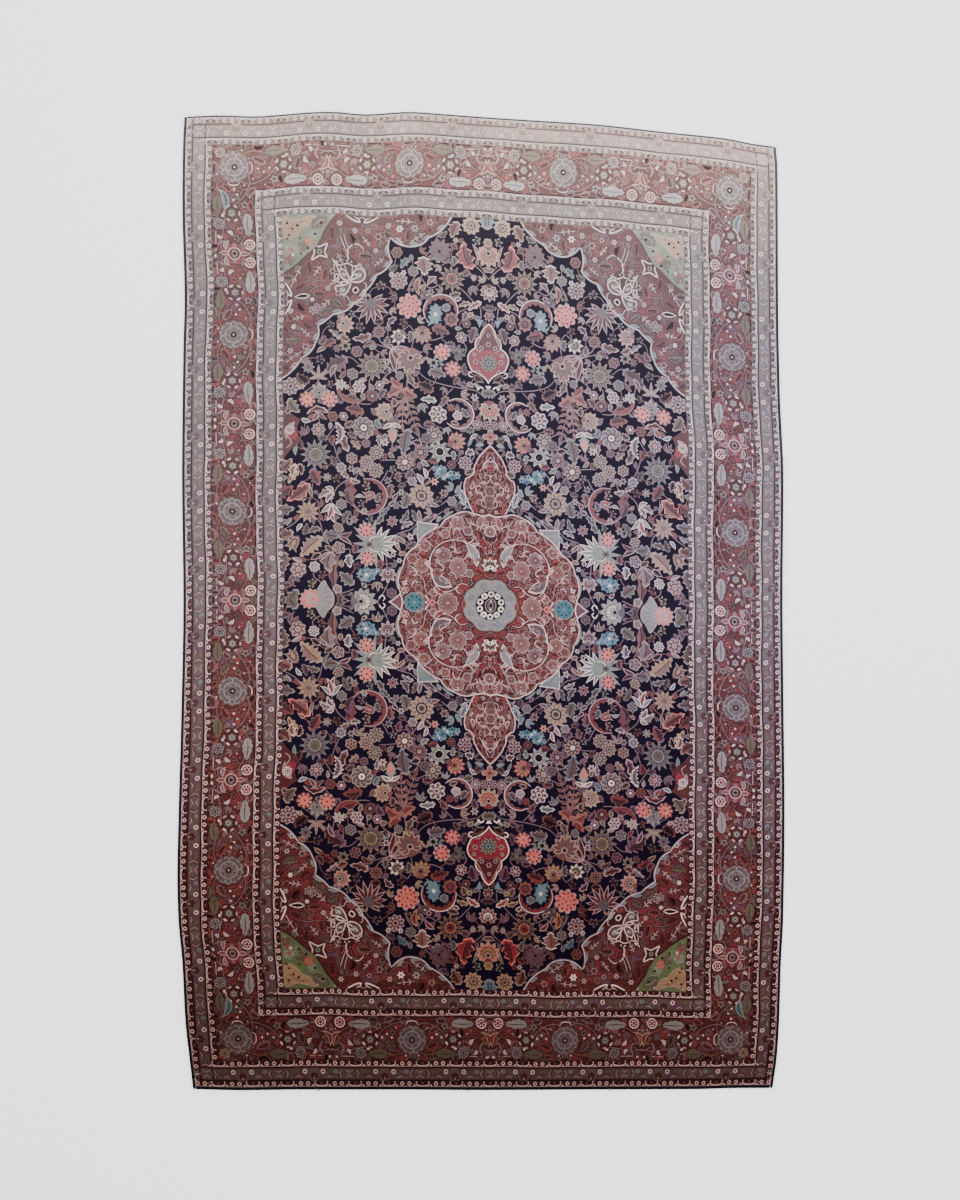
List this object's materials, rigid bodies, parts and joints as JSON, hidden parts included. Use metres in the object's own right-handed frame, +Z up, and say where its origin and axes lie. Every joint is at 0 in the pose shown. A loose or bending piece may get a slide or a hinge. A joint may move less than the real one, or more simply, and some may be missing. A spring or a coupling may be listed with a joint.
{
  "type": "persian rug",
  "caption": "Room-size hand-knotted wool rug with medallion, corner pieces and borders, dark overcast side cords and end bands; lies flat on a floor",
  "frame": {"origin": "centre of the underside's bounding box, on the floor the rug lies on", "axes": "+Z up out of the pile, +Y along the rug's length to its far end (the top of the picture), +X to the right"},
  "size_m": [2.1249, 3.4239, 0.008],
  "materials": {
    "knotted_pile": "low clipped wool pile, reds and navy, worn and washed",
    "overcast_cord": "dark blue-grey wool, wrapped close round the side warps",
    "end_band": "near-black navy wool, narrow flat band"
  },
  "bodies": {
    "root": {"carpet": "knotted_pile", "side_cord_left": "overcast_cord", "side_cord_right": "overcast_cord", "end_band_near": "end_band", "end_band_far": "end_band"}
  },
  "joints": []
}
